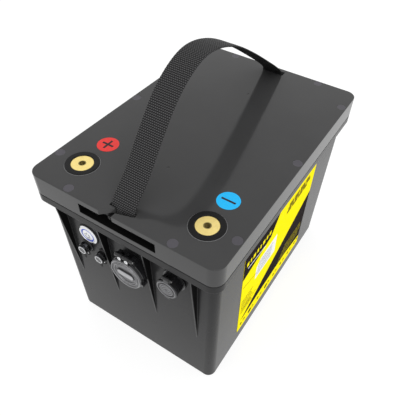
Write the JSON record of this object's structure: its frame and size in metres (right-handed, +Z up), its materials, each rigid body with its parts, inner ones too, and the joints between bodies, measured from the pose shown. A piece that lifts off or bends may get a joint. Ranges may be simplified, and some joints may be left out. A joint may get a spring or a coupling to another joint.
{
  "type": "battery pack",
  "caption": "Sealed black battery pack with a webbing carry strap, two threaded brass terminals and capped front sockets.",
  "frame": {"origin": "centre of the base face", "axes": "+Z up, -Y out of the front panel with the sockets, +X to the right when facing the front panel"},
  "size_m": [0.25, 0.3705, 0.3866],
  "materials": {
    "case_black": "semi-gloss moulded black",
    "black_plastic": "satin",
    "plug_grey": "satin",
    "black_rubber": "matte",
    "webbing": "tight woven webbing",
    "steel": "zinc plated",
    "brass": "polished",
    "red_badge": "gloss",
    "blue_badge": "gloss",
    "label_film": "printed film in black, white, olive and yellow",
    "bright_chrome": "polished",
    "blue_light": "lit blue diffuser",
    "port_grey": "turned, satin",
    "black_nut": "satin",
    "cell_can": "blue film over aluminium",
    "spacer_sheet": "fibre board",
    "plate_board": "glass-filled sheet",
    "foam": "closed-cell foam",
    "copper": "tinned copper",
    "lead_red": "silicone insulation",
    "lead_black": "silicone insulation",
    "board_green": "solder mask",
    "sink": "extruded"
  },
  "bodies": {
    "pack": {"case_shell": "case_black", "lid": "case_black", "lid_gasket": "black_rubber", "lid_screws": "steel", "screw_plugs": "plug_grey", "carry_strap": "webbing", "strap_rods": "steel", "terminal_bush_positive": "black_plastic", "terminal_positive": "brass", "polarity_badge_positive": "red_badge", "terminal_bush_negative": "black_plastic", "terminal_negative": "brass", "polarity_badge_negative": "blue_badge", "terminal_seals": "black_rubber", "terminal_washers": "steel", "terminal_nuts": "brass", "side_label": "label_film", "button_seal": "black_rubber", "button_housing": "bright_chrome", "button_light_ring": "blue_light", "button_switch": "black_plastic", "button_nut": "steel", "signal_socket_left": "black_plastic", "cap_tether_left": "black_rubber", "signal_socket_right": "black_plastic", "cap_tether_right": "black_rubber", "socket_inserts": "black_plastic", "socket_nuts": "steel", "charge_port_gasket": "black_rubber", "charge_port_housing": "black_plastic", "charge_port_pin": "steel", "charge_port_contacts": "black_plastic", "charge_port_nut": "black_nut", "aux_port_gasket": "black_rubber", "aux_port_housing": "black_plastic", "aux_port_pin": "steel", "aux_port_contacts": "black_plastic", "aux_port_nut": "black_nut", "cells": "cell_can", "cell_spacers": "spacer_sheet", "end_plates": "plate_board", "base_pad": "foam", "compression_bands": "steel", "bus_bars": "copper", "cell_nuts": "steel", "lead_lugs": "copper", "positive_lead": "lead_red", "protection_board": "board_green", "heat_sink": "sink", "negative_lead": "lead_black", "cell_return_lead": "lead_black"},
    "power_button": {"power_button_cap": "bright_chrome", "button_spring": "steel"},
    "charge_cap": {"charge_port_cap": "port_grey"},
    "aux_cap": {"aux_port_cap": "port_grey"},
    "left_loop": {"cap_loop_left": "black_rubber"},
    "left_cap": {"signal_cap_left": "bright_chrome"},
    "right_loop": {"cap_loop_right": "black_rubber"},
    "right_cap": {"signal_cap_right": "bright_chrome"}
  },
  "joints": [
    {"name": "power_button_press", "type": "slide", "parent": "pack", "child": "power_button", "axis": [0, 1, 0], "range_m": [0, 0.0018], "stiffness_N_per_m": 400, "springref_m": -0.001},
    {"name": "charge_cap_hinge", "type": "hinge", "parent": "pack", "child": "charge_cap", "pos_m": [0.0065, -0.1845, 0.2095], "axis": [-1, 0, 0], "range_deg": [0, 110]},
    {"name": "aux_cap_hinge", "type": "hinge", "parent": "pack", "child": "aux_cap", "pos_m": [0.0652, -0.18565, 0.2169], "axis": [-1, 0, 0], "range_deg": [0, 110]},
    {"name": "left_cap_lift", "type": "slide", "parent": "pack", "child": "left_loop", "axis": [0, -1, 0], "range_m": [0, 0.006]},
    {"name": "left_cap_turn", "type": "hinge", "parent": "left_loop", "child": "left_cap", "pos_m": [-0.0675, -0.17044, 0.168], "axis": [0, -1, 0], "range_deg": [0, 2160]},
    {"name": "right_cap_lift", "type": "slide", "parent": "pack", "child": "right_loop", "axis": [0, -1, 0], "range_m": [0, 0.006]},
    {"name": "right_cap_turn", "type": "hinge", "parent": "right_loop", "child": "right_cap", "pos_m": [-0.0412, -0.17044, 0.168], "axis": [0, -1, 0], "range_deg": [0, 2160]}
  ],
  "couplings": [
    {"joint": "left_cap_turn", "follows": "left_cap_lift", "rad_per_m": 6283.2},
    {"joint": "right_cap_turn", "follows": "right_cap_lift", "rad_per_m": 6283.2}
  ]
}
